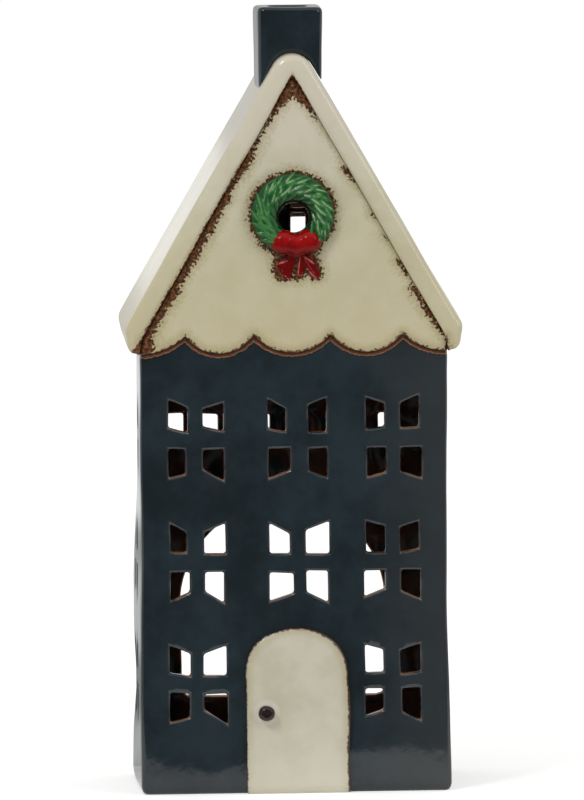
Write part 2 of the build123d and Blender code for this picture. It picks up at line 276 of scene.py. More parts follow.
# Each pane of the front, in the order upper left, upper right, lower left, lower right, as the knife left
# it: side next to the mullion, far side, then the heights of the near and far corners on the transom and
# away from it. Millimetres from the window's middle.
hand_cut_panes = {
    ("top", 0): ((-3.3, -10.8, 3.1, 5.2, 13.0, 16.4), (2.6, 10.7, 5.4, 3.4, 12.5, 14.9),
                 (-4.4, -10.8, -3.4, -3.0, -13.1, -14.5), (2.6, 10.6, -3.7, -3.5, -11.3, -16.0)),
    ("top", 1): ((-4.5, -11.6, 2.9, 4.4, 12.0, 16.0), (4.3, 11.5, 2.8, 2.7, 13.4, 16.3),
                 (-3.0, -11.4, -3.2, -3.4, -12.0, -15.3), (4.4, 11.5, -3.6, -3.4, -12.4, -15.2)),
    ("top", 2): ((-3.5, -10.8, 4.6, 3.7, 13.9, 16.4), (2.7, 9.9, 4.1, 4.4, 13.9, 17.1),
                 (-3.1, -10.5, -3.5, -3.6, -13.1, -15.1), (2.6, 10.9, -3.7, -3.5, -12.8, -15.7)),
    ("middle", 0): ((-4.7, -10.8, 4.0, 4.4, 11.9, 15.6), (2.3, 10.8, 3.3, 3.2, 11.8, 15.3),
                    (-3.4, -10.8, -3.8, -3.7, -11.9, -15.2), (2.5, 10.0, -3.9, -3.9, -11.7, -16.4)),
    ("middle", 1): ((-3.3, -11.4, 2.9, 3.0, 10.8, 15.1), (3.0, 12.3, 2.9, 2.8, 12.3, 15.8),
                    (-2.0, -11.5, -4.9, -4.5, -12.8, -16.0), (3.0, 11.5, -3.7, -3.8, -12.4, -16.5)),
    ("middle", 2): ((-3.6, -11.2, 2.8, 3.1, 13.4, 15.6), (2.3, 9.7, 2.7, 4.2, 12.7, 15.1),
                    (-3.8, -12.1, -4.1, -4.0, -11.2, -14.4), (2.5, 10.2, -4.1, -4.2, -12.3, -15.7)),
    ("ground", 0): ((-3.1, -11.2, 2.8, 4.2, 11.7, 15.1), (1.9, 10.9, 3.1, 3.0, 11.6, 14.8),
                    (-3.6, -10.9, -3.8, -3.3, -13.3, -15.2), (2.1, 11.0, -4.2, -3.9, -10.4, -16.4)),
    ("ground", 2): ((-4.8, -12.1, 3.2, 3.0, 12.4, 14.5), (1.9, 10.0, 2.3, 3.1, 11.8, 14.4),
                    (-5.3, -12.3, -3.3, -3.2, -11.8, -14.1), (2.2, 9.4, -3.4, -3.1, -12.6, -16.0)),
}
chance = random.Random(7)
noise.seed_set(7)


def knife_cut_panes(near_edge=3.2):
    """Panes of a window that the photograph doesn't show, with the same wander of the knife."""
    panes = []
    for up in (1, -1):
        for side in (-1, 1):
            near = near_edge + chance.uniform(-0.5, 0.7)
            panes.append((side * (3 + chance.uniform(-0.6, 0.8)), side * (10.9 + chance.uniform(-0.6, 0.8)),
                          up * near, up * (near + chance.uniform(-0.4, 0.4)),
                          up * (12.3 + chance.uniform(-0.9, 0.9)), up * (15.4 + chance.uniform(-0.7, 0.7))))
    return panes


# How far the left wall's back edge and front edge lean out at these heights, all in millimetres. The right
# wall leans out at its foot and its top and has a waist, and the gables drift to the right.
lean_heights = (0, 18, 37, 46, 55, 68, 80, 91, 103, 115, 150, 180)
back_leans = (3.2, 2.7, 1.2, 1.2, 1.9, 2.1, 2.0, 1.4, 0.8, 0.1, -0.4, -0.4)
front_leans = (1.7, 1.7, 1.6, 1.5, 1.4, 1.2, 1.0, 0.9, 0.8, 0.7, 0.7, 0.7)
belly = 0.5 * mm
right_lean = 0.9
right_waist = 1.3
gable_drift = 0.8 * mm
drift_height = 112 * mm
foot_draw = 1.2 * mm
foot_height = 3.5 * mm
waves = ((34 * mm, 0.4 * mm), (9 * mm, 0.06 * mm))


def hand_built(point):
    """Where a point of the drawing comes to lie in the real house, which was bent by hand and by the fire."""
    x, y, z = point
    rise = min(max(z / eave_height, 0), 1)
    to_back = min(max((y + half_depth) / (2 * half_depth), 0), 1)
    outward = min((abs(x) / half_width) ** 4, 1) * min(max((eave_height - z) / (8 * mm), 0), 1)
    if x < 0:
        back_lean, front_lean = [np.interp(z / mm, lean_heights, leans)
                                 for leans in (back_leans, front_leans)]
        lean = (back_lean * to_back + front_lean * (1 - to_back)) * mm + belly * math.sin(math.pi * to_back)
        x -= lean * outward
    else:
        x += (right_lean - right_waist * math.sin(math.pi * rise)) * mm * outward
    x += gable_drift * max(z - eave_height, 0) / drift_height
    foot = foot_draw * max(1 - z / foot_height, 0) ** 2
    x -= math.copysign(foot * min(abs(x) / half_width, 1) ** 4, x)
    y -= math.copysign(foot * min(abs(y) / half_depth, 1) ** 4, y)
    slow, quick = [noise.noise_vector(Vector((x, y, z)) / size) * depth for size, depth in waves]
    settled = min(max(z / (4 * mm), 0), 1)
    place = (x + slow.x + quick.x, y + slow.y + quick.y, z + (slow.z + quick.z) * settled)
    return Vector([min(max(value, low), high) for value, low, high in zip(place, *cad_box)])


def only(*objects):
    """Select these objects and nothing else, the last one active."""
    bpy.ops.object.select_all(action="DESELECT")
    for item in objects:
        item.select_set(True)
    bpy.context.view_layer.objects.active = objects[-1]


def finish_with(piece, kind, **settings):
    """Add a modifier to a piece and apply it."""
    only(piece)
    modifier = piece.modifiers.new(kind.lower(), kind)
    for name, value in settings.items():
        setattr(modifier, name, value)
    bpy.ops.object.modifier_apply(modifier=modifier.name)


def on_whole(piece, operator, **settings):
    """Run an edit mode operator on the whole of a piece."""
    only(piece)
    bpy.ops.object.mode_set(mode="EDIT")
    bpy.ops.mesh.select_all(action="SELECT")
    operator(**settings)
    bpy.ops.object.mode_set(mode="OBJECT")


def on_chosen(piece, parts, chosen, operator, **settings):
    """Run an edit mode operator on the edges or the faces of a piece that are chosen."""
    on_whole(piece, bpy.ops.mesh.select_all, action="DESELECT")
    for part in getattr(piece.data, parts):
        part.select = chosen(part)
    bpy.ops.object.mode_set(mode="EDIT")
    bpy.ops.mesh.select_mode(type="EDGE" if parts == "edges" else "FACE")
    operator(**settings)
    bpy.ops.object.mode_set(mode="OBJECT")


def shape_by_hand(piece):
    for vertex in piece.data.vertices:
        vertex.co = hand_built(vertex.co)


def fire(piece, coat):
    """Bend a piece as hand and kiln bent it, and give it its glaze."""
    shape_by_hand(piece)
    piece.data.materials.append(coat)


def window_cuts(columns, offset):
    return [offset + column + step for column in columns
            for step in (-pane_far_x, -mullion, mullion, pane_far_x)]


right_start = 2 * half_width
back_start = right_start + 2 * half_depth
left_start = back_start + 2 * half_width
girth = left_start + 2 * half_depth
back_lift = back_window_height - floors["top"]
attic_shift = back_columns[1] - attic_middle
attic_panes = [(side * 3.2, side * 9.1, up * attic_transom / mm, up * attic_transom / mm, up * 12, up * 15.2)
               for up in (1, -1) for side in (-1, 1)]
# For each window: its middle in the drawing, how far from there it is cut, and its panes
windows = [(half_width + x, floors[name], 0, 0, hand_cut_panes[name, column])
           for name in floors for column, x in enumerate(front_columns) if (name, column) in hand_cut_panes]
windows += [(start + half_depth, height, 0, 0, knife_cut_panes())
            for height in floors.values() for start in (right_start, left_start)]
windows += [(back_start + half_width - x, floors["top"], 0, back_lift, knife_cut_panes(4.2))
            for x in back_columns]
windows += [(back_start + half_width - back_columns[1], attic_height, attic_shift, 0, attic_panes)]
along_cuts = sorted({0, right_start, back_start, left_start, girth}
                    | {round(cut, 6) for cut in window_cuts(front_columns, half_width)
                       + window_cuts([0], right_start + half_depth)
                       + window_cuts([-x for x in back_columns], back_start + half_width)
                       + window_cuts([0], left_start + half_depth)})
up_cuts = [0, foot_height, 14 * mm]
for height in (*floors.values(), attic_height):
    up_cuts += [height - pane_far_z, height - transom, height + transom, height + pane_far_z]
up_cuts = sorted([*up_cuts, 168 * mm, 174 * mm, eave_height, 190 * mm, 262 * mm, ridge_height])


def round_the_house(along, up):
    """A point of the flat slab, by its way round the house from the front left corner."""
    if along <= right_start:
        return Vector((along - half_width, -half_depth, up))
    if along <= back_start:
        return Vector((half_width, along - right_start - half_depth, up))
    if along <= left_start:
        return Vector((half_width - (along - back_start), half_depth, up))
    return Vector((-half_width, half_depth - (along - left_start), up))


body = primitive(bpy.ops.mesh.primitive_grid_add, x_subdivisions=len(along_cuts) - 1,
                 y_subdivisions=len(up_cuts) - 1, size=1)
body.name = "glazed_body"
flat_places = []
for vertex in body.data.vertices:
    column = round((vertex.co.x + 0.5) * (len(along_cuts) - 1))
    row = round((vertex.co.y + 0.5) * (len(up_cuts) - 1))
    flat_places.append([along_cuts[column], up_cuts[row]])
corner_of = {(round(a, 6), round(u, 6)): number for number, (a, u) in enumerate(flat_places)}
open_cells = set()
for middle, height, aside, lift, panes in windows:
    for pane, (side, up) in zip(panes, ((-1, 1), (1, 1), (-1, -1), (1, -1))):
        near_x, far_x, near_low, near_high, far_low, far_high = pane
        knife_left = (near_x, near_low), (far_x, near_high), (near_x, far_low), (far_x, far_high)
        drawn = [(side * x, up * z) for z in (transom, pane_far_z) for x in (mullion, pane_far_x)]
        cell = []
        for (drawn_x, drawn_z), (cut_x, cut_z) in zip(drawn, knife_left):
            number = corner_of[(round(middle + drawn_x, 6), round(height + drawn_z, 6))]
            flat_places[number] = [middle + aside + cut_x * mm, height + lift + cut_z * mm]
            cell.append(number)
        open_cells.add(frozenset(cell))
for vertex, (along, up) in zip(body.data.vertices, flat_places):
    vertex.co = round_the_house(along, up)

edit = bmesh.new()
edit.from_mesh(body.data)
edit.verts.ensure_lookup_table()
waste = []
for face in edit.faces:
    middle = face.calc_center_median()
    above_side_walls = middle.z > eave_height and abs(middle.x) > half_width - mm
    if above_side_walls or frozenset(corner.index for corner in face.verts) in open_cells:
        waste.append(face)
bmesh.ops.delete(edit, geom=waste, context="FACES")
bmesh.ops.remove_doubles(edit, verts=edit.verts, dist=0.01 * mm)
edit.to_mesh(body.data)
edit.free()
for side in (-1, 1):
    on_whole(body, bpy.ops.mesh.bisect, plane_co=(0, 0, ridge_height),
             plane_no=(side * slope_sine, 0, slope_cosine), clear_outer=True)
finish_with(body, "SOLIDIFY", thickness=wall, offset=-1, use_even_offset=True)

arch_head = primitive(bpy.ops.mesh.primitive_cylinder_add, vertices=72, radius=arch_radius, depth=4 * wall,
                      location=(arch_middle, half_depth, arch_spring), rotation=upright)
on_whole(arch_head, bpy.ops.mesh.bisect, plane_co=(0, 0, arch_spring - mm), plane_no=(0, 0, -1),
         clear_outer=True, use_fill=True)
arch_foot = primitive(bpy.ops.mesh.primitive_cube_add, size=1,
                      location=(arch_middle, half_depth, (arch_spring + arch_sill) / 2),
                      scale=(2 * arch_radius, 4 * wall, arch_spring - arch_sill))
finish_with(arch_foot, "BEVEL", width=4 * mm, segments=3, limit_method="NONE")
sight_hole = primitive(bpy.ops.mesh.primitive_cylinder_add, vertices=32, radius=sight_radius + cut_edge,
                       depth=4 * wall, location=(0, -half_depth, wreath_height - sight_drop),
                       rotation=upright)
for cutter in (arch_head, arch_foot, sight_hole):
    finish_with(body, "BOOLEAN", object=cutter, operation="DIFFERENCE", solver="EXACT")
    bpy.data.objects.remove(cutter)


def on_corner(edge):
    """Whether an edge of the body runs up one of its four outer corners."""
    ends = [body.data.vertices[number].co for number in edge.vertices]
    return abs(ends[0].z - ends[1].z) > hair and all(
        abs(abs(end.x) - half_width) < hair and abs(abs(end.y) - half_depth) < hair for end in ends)


on_chosen(body, "edges", on_corner, bpy.ops.mesh.bevel, offset=corner_radius, segments=4, affect="EDGES")
finish_with(body, "BEVEL", width=cut_edge, segments=2, limit_method="ANGLE", angle_limit=math.radians(35),
            use_clamp_overlap=False)
finish_with(body, "TRIANGULATE", min_vertices=5)
# The glaze is worked out at the vertices, so the whole outside is split in nine, and once more, finer, the
# strip that the brown line of the scallops crosses
on_chosen(body, "polygons", lambda face: abs(face.center.x) > half_width - wall + hair
          or abs(face.center.y) > half_depth - wall + hair, bpy.ops.mesh.subdivide, number_cuts=2)
on_chosen(body, "polygons", lambda face: abs(face.center.y) > half_depth - hair
          and 171 * mm < face.center.z < 186 * mm, bpy.ops.mesh.subdivide, number_cuts=5)


def smooth_step(value, low, high):
    """0 below low, 1 above high, with a soft passage between them."""
    return add(value, "ShaderNodeMapRange", {"Value": value, "From Min": low, "From Max": high},
               interpolation_type="SMOOTHSTEP")


def marked(place, name):
    """The number that mark gave each vertex."""
    return add(place, "ShaderNodeAttribute", out="Fac", attribute_name=name)


def mottled(place, size, detail, roughness=0.5):
    """Clouds between 0 and 1, of about this size."""
    return add(place, "ShaderNodeTexNoise", {"Vector": place, "Scale": 1 / size, "Detail": detail,
                                             "Roughness": roughness})


def mixed(share, *colours):
    """The first colour, and as much of the second as share says. A colour is an output or a hex code."""
    first, second = [linear(colour) if isinstance(colour, str) else colour for colour in colours]
    return add(share, "ShaderNodeMixRGB", {"Fac": share, "Color1": first, "Color2": second})


def layered(colour, *layers):
    """A colour under layers of others, each a share and a colour."""
    for share, tint in layers:
        colour = mixed(share, colour, tint)
    return colour


def bumped(height, strength, depth):
    return add(height, "ShaderNodeBump", {"Height": height, "Strength": strength, "Distance": depth})


def glaze(name, deep, shallow, cloud_size, roughness, gloss=0.5):
    """A glossy fired glaze that clouds from deep to shallow over cloud_size, on a gently rippled skin."""
    material, shader, place = new_material(name, {
        "Roughness": roughness, "IOR": 1.5, "Specular IOR Level": gloss})
    colour = mixed(smooth_step(mottled(place, cloud_size, 5, 0.62), 0.3, 0.7), deep, shallow)
    feed(shader, {"Base Color": colour, "Normal": bumped(mottled(place, 7 * mm, 3, 0.45), 0.5, 0.14 * mm)})
    return material, shader, place, colour


def at_vertices(piece, what):
    """The x, y and z of a piece's vertices, or of their normals."""
    values = np.empty(len(piece.data.vertices) * 3)
    piece.data.vertices.foreach_get(what, values)
    return values.reshape(-1, 3).T


def mark(piece, name, measure):
    """Give each vertex of a piece a number that its glaze reads, worked out from its drawn place."""
    values = measure(*at_vertices(piece, "co"))
    piece.data.attributes.new(name, "FLOAT", "POINT").data.foreach_set("value", values.astype(np.float32))


def scallop_line(node, face_y):
    """Points every third of a millimetre along the lower edge of a gable panel."""
    panel = bmesh.new()
    panel.from_mesh(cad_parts[node].data)
    bmesh.ops.remove_doubles(panel, verts=panel.verts, dist=0.001 * mm)
    points = []
    for edge in panel.edges:
        start, end = (v.co for v in edge.verts)
        on_face = abs(start.y - face_y) < hair and abs(end.y - face_y) < hair
        if on_face and max(start.z, end.z) < eave_height + 3 * mm and abs(edge.calc_face_angle(0)) > 0.5:
            steps = max(int((end - start).length / (0.33 * mm)), 1)
            points += [start.lerp(end, step / steps) for step in range(steps + 1)]
    panel.free()
    return np.array([(p.x, p.z) for p in points])


panel_front = -42.5 * mm
on_line = 20
front_scallops = scallop_line("front_gable_panel", panel_front)
back_scallops = scallop_line("back_gable_panel", -panel_front)


def from_scallops(x, y, z):
    """Closeness to the scalloped edge: on_line there, and one less for each millimetre away."""
    flat = np.stack((x, z), 1)
    nearest = np.full(len(flat), float(on_line))
    low = (z > 160 * mm) & (z < 200 * mm) & (abs(y) > 30 * mm)
    for line, side in ((front_scallops, -1), (back_scallops, 1)):
        chosen = np.flatnonzero(low & (y * side > 0))
        for part in np.array_split(chosen, len(chosen) // 4000 + 1):
            across = flat[part][:, None] - line[None]
            nearest[part] = np.sqrt((across ** 2).sum(2)).min(1) / mm
    return on_line - np.minimum(nearest, on_line)


def under_skin(x, y, z):
    """0 on the outside of the walls and 1 on their inner faces."""
    return np.clip(-np.maximum(abs(x) - half_width, abs(y) - half_depth) / wall, 0, 1)


only(body)
bpy.ops.mesh.customdata_custom_splitnormals_clear()
mark(body, "inside", under_skin)
mark(body, "scallop", from_scallops)
normals = at_vertices(body, "normal")
looks_up = np.clip(2 * normals[2] - 0.6, 0, 1)
# 1 on a rounded edge that looks up, where the glaze ran thin and a painted highlight lies, less on other
# edges and 0 on a flat
broken = np.clip((0.985 - abs(normals).max(0)) / 0.2, 0, 1) * np.clip(0.5 + normals[2], 0.35, 1)
mark(body, "thin_and_lit_edge", lambda x, y, z: broken * (np.hypot(x, z - wreath_height) > 9 * mm)
     * ((abs(x) < half_width - 3 * mm) | (abs(y) < half_depth - 3 * mm)))
mark(body, "sill", lambda x, y, z: looks_up * (under_skin(x, y, z) > 0.02) * (z > 20 * mm))
shape_by_hand(body)
bpy.ops.object.shade_smooth_by_angle(angle=math.radians(50))

teal_glaze, shader, place, colour = glaze("dark_teal_gloss_glaze", "#182227", "#283439", 26 * mm, 0.09)
scallop = marked(place, "scallop")
inside = marked(place, "inside")
near = maths("MULTIPLY_ADD", mottled(place, 1.3 * mm, 2), 1.1, scallop)
stain = smooth_step(near, 18.7, 19.1)
# A pale line along the lower edge of the brown stain under the scallops: a painted highlight.
painted_highlight_line = maths("ABSOLUTE", maths("SUBTRACT", near, 19.1))
painted_highlight_line = ranged(painted_highlight_line, (0, 0.28), (0.8, 0))
under_edge = smooth_step(scallop, 19.2, 19.8)
patches = mottled(place, 9 * mm, 3)
# Greyish brown on the edges: thin glaze over the cut edges, and a painted highlight on those that look up.
worn = times(marked(place, "thin_and_lit_edge"), smooth_step(patches, 0.36, 0.54))
bare = times(curved(inside, ((0, 0), (0.15, 0), (0.32, 1), (0.93, 1), (1, 0.2))),
             smooth_step(patches, 0.32, 0.55))
# Bare clay on the inner sills that look up, painted a brighter amber there: painted light falling through the
# windows.
sill_clay = curved(inside, ((0, 0), (0.1, 0), (0.25, 1), (0.93, 1), (1, 0)))
sill_clay_and_painted_light = times(sill_clay, marked(place, "sill"), smooth_step(patches, 0.38, 0.52))
# The front is painted lighter towards its right end: a painted reflection of the room on the right.
painted_light_to_right = ranged(axis(place, 0), (25 * mm, 62 * mm), (0, 0.8))
feed(shader, {"Base Color": layered(
    colour, (painted_light_to_right, "#383b3c"), (worn, "#6d6763"), (bare, "#a5622c"), (sill_clay_and_painted_light, "#d98236"),
    (stain, "#6f4426"), (under_edge, "#3a2016"), (painted_highlight_line, "#b3876c"))})
body.data.materials.clear()
body.data.materials.append(teal_glaze)
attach(body, "house")
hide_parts("front_wall", "back_wall", "left_wall", "right_wall")
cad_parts["floor_slab"].data.materials.clear()
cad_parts["floor_slab"].data.materials.append(teal_glaze)


# The roof: two thick slabs of clay joined at a rounded ridge, with soft rims that stand proud of the
# gables. Cream glaze, thick and glossy, which lets the brown body show where it breaks over the grooves.
roof_grain = 0.85 * mm
break_range = 4


def fused(name, pieces, grain, passes):
    """Join pieces in one skin of clay, with every edge eased as glaze eases it."""
    only(*pieces)
    if len(pieces) > 1:
        bpy.ops.object.join()
    piece = bpy.context.view_layer.objects.active
    piece.name = name
    piece.data.materials.clear()
    on_whole(piece, bpy.ops.mesh.remove_doubles, threshold=0.001 * mm)
    bpy.ops.mesh.customdata_custom_splitnormals_clear()
    finish_with(piece, "REMESH", mode="VOXEL", voxel_size=grain)
    finish_with(piece, "SMOOTH", factor=0.5, iterations=passes)
    bpy.ops.object.shade_smooth()
    return piece


def softened(name, nodes, grain, passes, *added):
    """Copies of CAD nodes, and what is added, as one piece of clay."""
    copies = [put(name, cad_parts[node].data.copy()) for node in nodes]
    return fused(name, [*added, *copies], grain, passes)


def up_the_gable(x, y, z):
    return (z - eave_height) / gable_height


def from_groove(side):
    """Closeness to the line where the roof meets a gable, on one side: much less on the roof's rim."""
    slants = (4, 2.6, 2.6, 8) if side < 0 else (2.2, 8, 8, 8)

    def measure(x, y, z):
        inwards = ((ridge_height - z) * slope_cosine - side * x * slope_sine) / mm
        steepness = np.interp(up_the_gable(x, y, z), (0, 0.06, 0.7, 0.84), slants)
        past_middle = np.maximum(-side * x, 0) / mm
        off_line = np.where(inwards > 0, abs(inwards - 0.9), 0.9 - inwards * steepness)
        return on_line - off_line - 8 * past_middle
    return measure


def from_strokes(flat, strokes):
    """Distance of points from the nearest of some strokes, each a start, an end and half a width."""
    nearest = np.full(len(flat), 99.0)
    for start, end, reach in strokes:
        start, run = np.array(start), np.subtract(end, start)
        share = np.clip((flat - start) @ run / (run @ run), 0, 1)
        nearest = np.minimum(nearest, np.linalg.norm(flat - start - share[:, None] * run, axis=1) - reach)
    return nearest


# The bow's loops and tails, in millimetres from the wreath's middle: start, end and half a width
bow_strokes = (
    ((-4.6, -10.9), (5.8, -10.7), 5.2),
    ((-4.2, -14.5), (-3.9, -22.4), 3),
    ((2.4, -17), (2.0, -24), 1.6),
    ((6, -15.5), (8.3, -23.2), 2),
)
ring_aside = -0.3 * mm
ring_reach = 16.1


def on_front(x, z):
    """Places as the front shows them, in millimetres from the wreath's middle."""
    return np.stack((x, z - wreath_height), 1) / mm


def beside_wreath(x, y, z):
    """Closeness to the outline of the wreath and its bow, on the front."""
    flat = on_front(x, z)
    ring = np.hypot(flat[:, 0] - ring_aside / mm, flat[:, 1]) - ring_reach
    edge = np.minimum(ring, from_strokes(flat, bow_strokes))
    return np.where(y < 0, on_line - edge, 0)


def mark_gable(piece):
    mark(piece, "left_groove", from_groove(-1))
    mark(piece, "right_groove", from_groove(1))
    mark(piece, "scallop", from_scallops)
    mark(piece, "wreath", beside_wreath)
    mark(piece, "height", up_the_gable)
    mark(piece, "from_middle", lambda x, y, z: abs(y) / mm)


cream_glaze, shader, place, colour = glaze("cream_gloss_glaze", "#cbc4a6", "#d8d2b9", 22 * mm, 0.2)
speckle = mottled(place, 1.15 * mm, 2, 0.6)
unevenness = maths("MULTIPLY_ADD", mottled(place, 5 * mm, 2), 4,
                   maths("MULTIPLY_ADD", speckle, 7, -5.5))
height = marked(place, "height")
on_gable = smooth_step(marked(place, "from_middle"), 40.2, 40.9)
# How far the brown reaches out of each groove, in millimetres, at each share of the gable's height
left_breaks = ((0, 3.4), (0.04, 2.6), (0.2, 2.2), (0.45, 2.3), (0.6, 1.5), (0.66, 1.9), (0.74, 1.2),
               (0.84, 0.9), (0.88, 2), (0.93, 4), (1, 4))
right_breaks = ((0, 0.4), (0.06, 1.2), (0.1, 1.7), (0.19, 1.0), (0.21, -1.0), (0.24, 0.8), (0.29, 0.7),
                (0.31, -1.4), (0.39, -0.2), (0.42, -1.6), (0.47, -0.4), (0.5, -1.9), (0.6, 0.2), (0.64, 0.8),
                (0.66, -1.4), (0.8, -0.6), (0.88, 1.4), (0.93, 3.8), (1, 4))
reaches = []
for name, breaks in (("left_groove", left_breaks), ("right_groove", right_breaks)):
    stops = [(at, (amount + break_range) / (2 * break_range)) for at, amount in breaks]
    amount = maths("MULTIPLY_ADD", curved(height, stops), 2 * break_range, -break_range)
    reach = maths("ADD", maths("ADD", amount, marked(place, name)), unevenness)
    reaches.append((maths("SUBTRACT", reach, on_line), -4.5))
for name, strength, wander in (("wreath", 1.2, 0.9), ("scallop", 0.6, 0.45)):
    reach = maths("SUBTRACT", marked(place, name), on_line - strength)
    reaches.append((maths("MULTIPLY_ADD", unevenness, wander, reach), -4))
toast, halo = 0, 0
for reach, halo_start in reaches:
    toast = maths("MAXIMUM", toast, smooth_step(reach, -0.35, 0.35))
    halo = maths("MAXIMUM", halo, smooth_step(reach, halo_start, 0.5))
toast = times(toast, on_gable)
halo = times(halo, on_gable, 0.55)
yellowed = curved(height, ((0, 0.5), (0.3, 0.3), (0.6, 0), (1, 0)))
bleached = curved(height, ((0, 0), (0.55, 0), (0.85, 0.5), (1, 0.5)))
brown = mixed(smooth_step(speckle, 0.35, 0.62), "#865022", "#3a200c")
colour = layered(colour, (yellowed, "#cabd90"), (bleached, "#e0d6c6"), (halo, "#a99a68"), (toast, brown))
feed(shader, {"Base Color": colour, "Roughness": ranged(toast, target=(0.2, 0.38))})


def prism(outline, start, run):
    """A bar of clay with this outline, run from its start along one direction."""
    clay = bmesh.new()
    sheet = clay.faces.new([clay.verts.new(start + Vector(point) * mm) for point in outline])
    pushed = bmesh.ops.extrude_face_region(clay, geom=[sheet])["geom"]
    bmesh.ops.translate(clay, vec=run, verts=[v for v in pushed if isinstance(v, bmesh.types.BMVert)])
    bmesh.ops.recalc_face_normals(clay, faces=clay.faces)
    bar = put("bar", bpy.data.meshes.new("bar"))
    clay.to_mesh(bar.data)
    clay.free()
    return bar


# The end of each eave was beaten plumb, down to the wall: its section, in millimetres from the wall's
# outer face and the eave's height
eave_section = ((0.4, 1.6), (0.4, -4.4), (3, -5), (4.7, -3.8), (5.9, -1), (6.5, 5.5), (2.5, 4))
roof_low, roof_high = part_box("left_roof_slab")
eaves = [prism([(side * out, 0, up) for out, up in eave_section],
               Vector((side * half_width, roof_low.y, eave_height)), Vector((0, roof_high.y - roof_low.y, 0)))
         for side in (-1, 1)]
roof = softened("glazed_roof", ("left_roof_slab", "right_roof_slab"), roof_grain, 16, *eaves)
mark_gable(roof)
fire(roof, cream_glaze)
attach(roof, "house")
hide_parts("left_roof_slab", "right_roof_slab")


# The gable panels: thin slabs laid over the front and back walls under the roof's rims, with a lower edge
# cut in round scallops. The same cream glaze, toasted dark brown along the scallops and in the grooves.
for name, node in (("front_gable", "front_gable_panel"), ("back_gable", "back_gable_panel")):
    gable = softened(name, (node,), 0.6 * mm, 3)
    mark_gable(gable)
    fire(gable, cream_glaze)
    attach(gable, "house")
    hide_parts(node)


# The chimney: a square tube of clay notched over the ridge, its rim softened by the thumb. It widens a
# little upwards and its front left corner is pressed in. The same dark glaze as the walls.
chimney_width = 1.045
chimney_flare = 0.03
chimney_nip = 1.5 * mm
chimney_aside = -0.2 * mm
chimney = softened("glazed_chimney", ("chimney",), 0.6 * mm, 34)
chimney_low, chimney_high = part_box("chimney")
chimney_middle = (chimney_low.x + chimney_high.x) / 2
for vertex in chimney.data.vertices:
    to_back, up = [(vertex.co[way] - chimney_low[way]) / (chimney_high[way] - chimney_low[way])
                   for way in (1, 2)]
    aside = (vertex.co.x - chimney_middle) * (chimney_width + chimney_flare * up)
    narrowed = chimney_nip * (1 - to_back) * min(max(-aside / (chimney_high.x - chimney_middle), 0), 1)
    vertex.co.x = chimney_middle + chimney_aside + aside + narrowed
fire(chimney, teal_glaze)
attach(chimney, "house")
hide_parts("chimney")


# The door: a round-headed slab of clay laid on the front wall, under a cream glaze that breaks to brown
# along its edge. Where its edge swells is given by the angle about the middle of its arch, with the
# spread in degrees and the swell in millimetres.
door_middle = 0.3 * mm
door_half_width = 20.5 * mm
door_spring = 45 * mm
door_swells = ((142, 26, 1.5), (45, 20, 0.5), (0, 16, -0.8))
waist_height = 14 * mm
waist_spread = 9 * mm
waist_depth = 0.6
knob_low, knob_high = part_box("door_knob")
knob_middle = (knob_low + knob_high) / 2


def from_door_edge(x, y, z):
    return (door_half_width - np.hypot(x - door_middle, np.maximum(z - door_spring, 0))) / mm


door_glaze, shader, place, colour = glaze("cream_door_gloss_glaze", "#ccc6ad", "#d9d4c0", 16 * mm, 0.2)
speckle = mottled(place, 1.4 * mm, 2)
right_share = ranged(axis(place, 0), (-20 * mm, 21 * mm), (0.35, 1.1))
reach = maths("SUBTRACT", right_share, marked(place, "door_edge"))
reach = maths("MULTIPLY_ADD", speckle, 1.4, reach)
halo = times(smooth_step(reach, -3, 1.2), 0.4)
beside_knob = smooth_step(marked(place, "from_knob"), 6.2, 3.6)
lower = ranged(axis(place, 2), (40 * mm, 0), (0, 0.5))
paler = maths("MAXIMUM", beside_knob, lower)
dark = smooth_step(reach, 0.4, 1.2)
feed(shader, {"Base Color": layered(
    colour, (halo, "#a3905f"), (paler, "#e9e3d0"), (dark, "#4a2d1a"))})
door = softened("glazed_door", ("door_panel",), 0.5 * mm, 3)
mark(door, "door_edge", from_door_edge)
mark(door, "from_knob", lambda x, y, z: np.hypot(x - knob_middle.x, z - knob_middle.z) / mm)
for vertex in door.data.vertices:
    spoke = Vector((vertex.co.x - door_middle, 0, vertex.co.z - door_spring))
    turn = math.degrees(math.atan2(spoke.z, spoke.x))
    fuller = sum(swell * math.exp(-((turn - middle) / spread) ** 2) for middle, spread, swell in door_swells)
    if spoke.x > 0:
        fuller -= waist_depth * math.exp(-((vertex.co.z - waist_height) / waist_spread) ** 2)
    vertex.co += spoke.normalized() * fuller * mm * min(spoke.length / door_half_width, 1) ** 4
fire(door, door_glaze)
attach(door, "house")
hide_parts("door_panel")


# The door knob: a ball of clay rolled between the fingers and pressed on to the door, under a brown glaze.
knob = primitive(bpy.ops.mesh.primitive_uv_sphere_add, segments=40, ring_count=24,
                 radius=(knob_high.x - knob_low.x) / 2)
knob.name = "pressed_knob"
knob.data.transform(Matrix.Translation(knob_middle) @ Matrix.Diagonal((1.1, 1, 1.04, 1)))
for vertex in knob.data.vertices:
    vertex.co += noise.noise_vector(vertex.co / (2.4 * mm)) * 0.16 * mm
    vertex.co.y = max(min(vertex.co.y, knob_high.y), knob_low.y)
only(knob)
bpy.ops.object.shade_smooth()
brown_glaze = glaze("dark_brown_gloss_glaze", "#1c1512", "#2f231d", 3 * mm, 0.12, 0.4)[0]
knob.data.materials.append(brown_glaze)
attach(knob, "house")
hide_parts("door_knob")


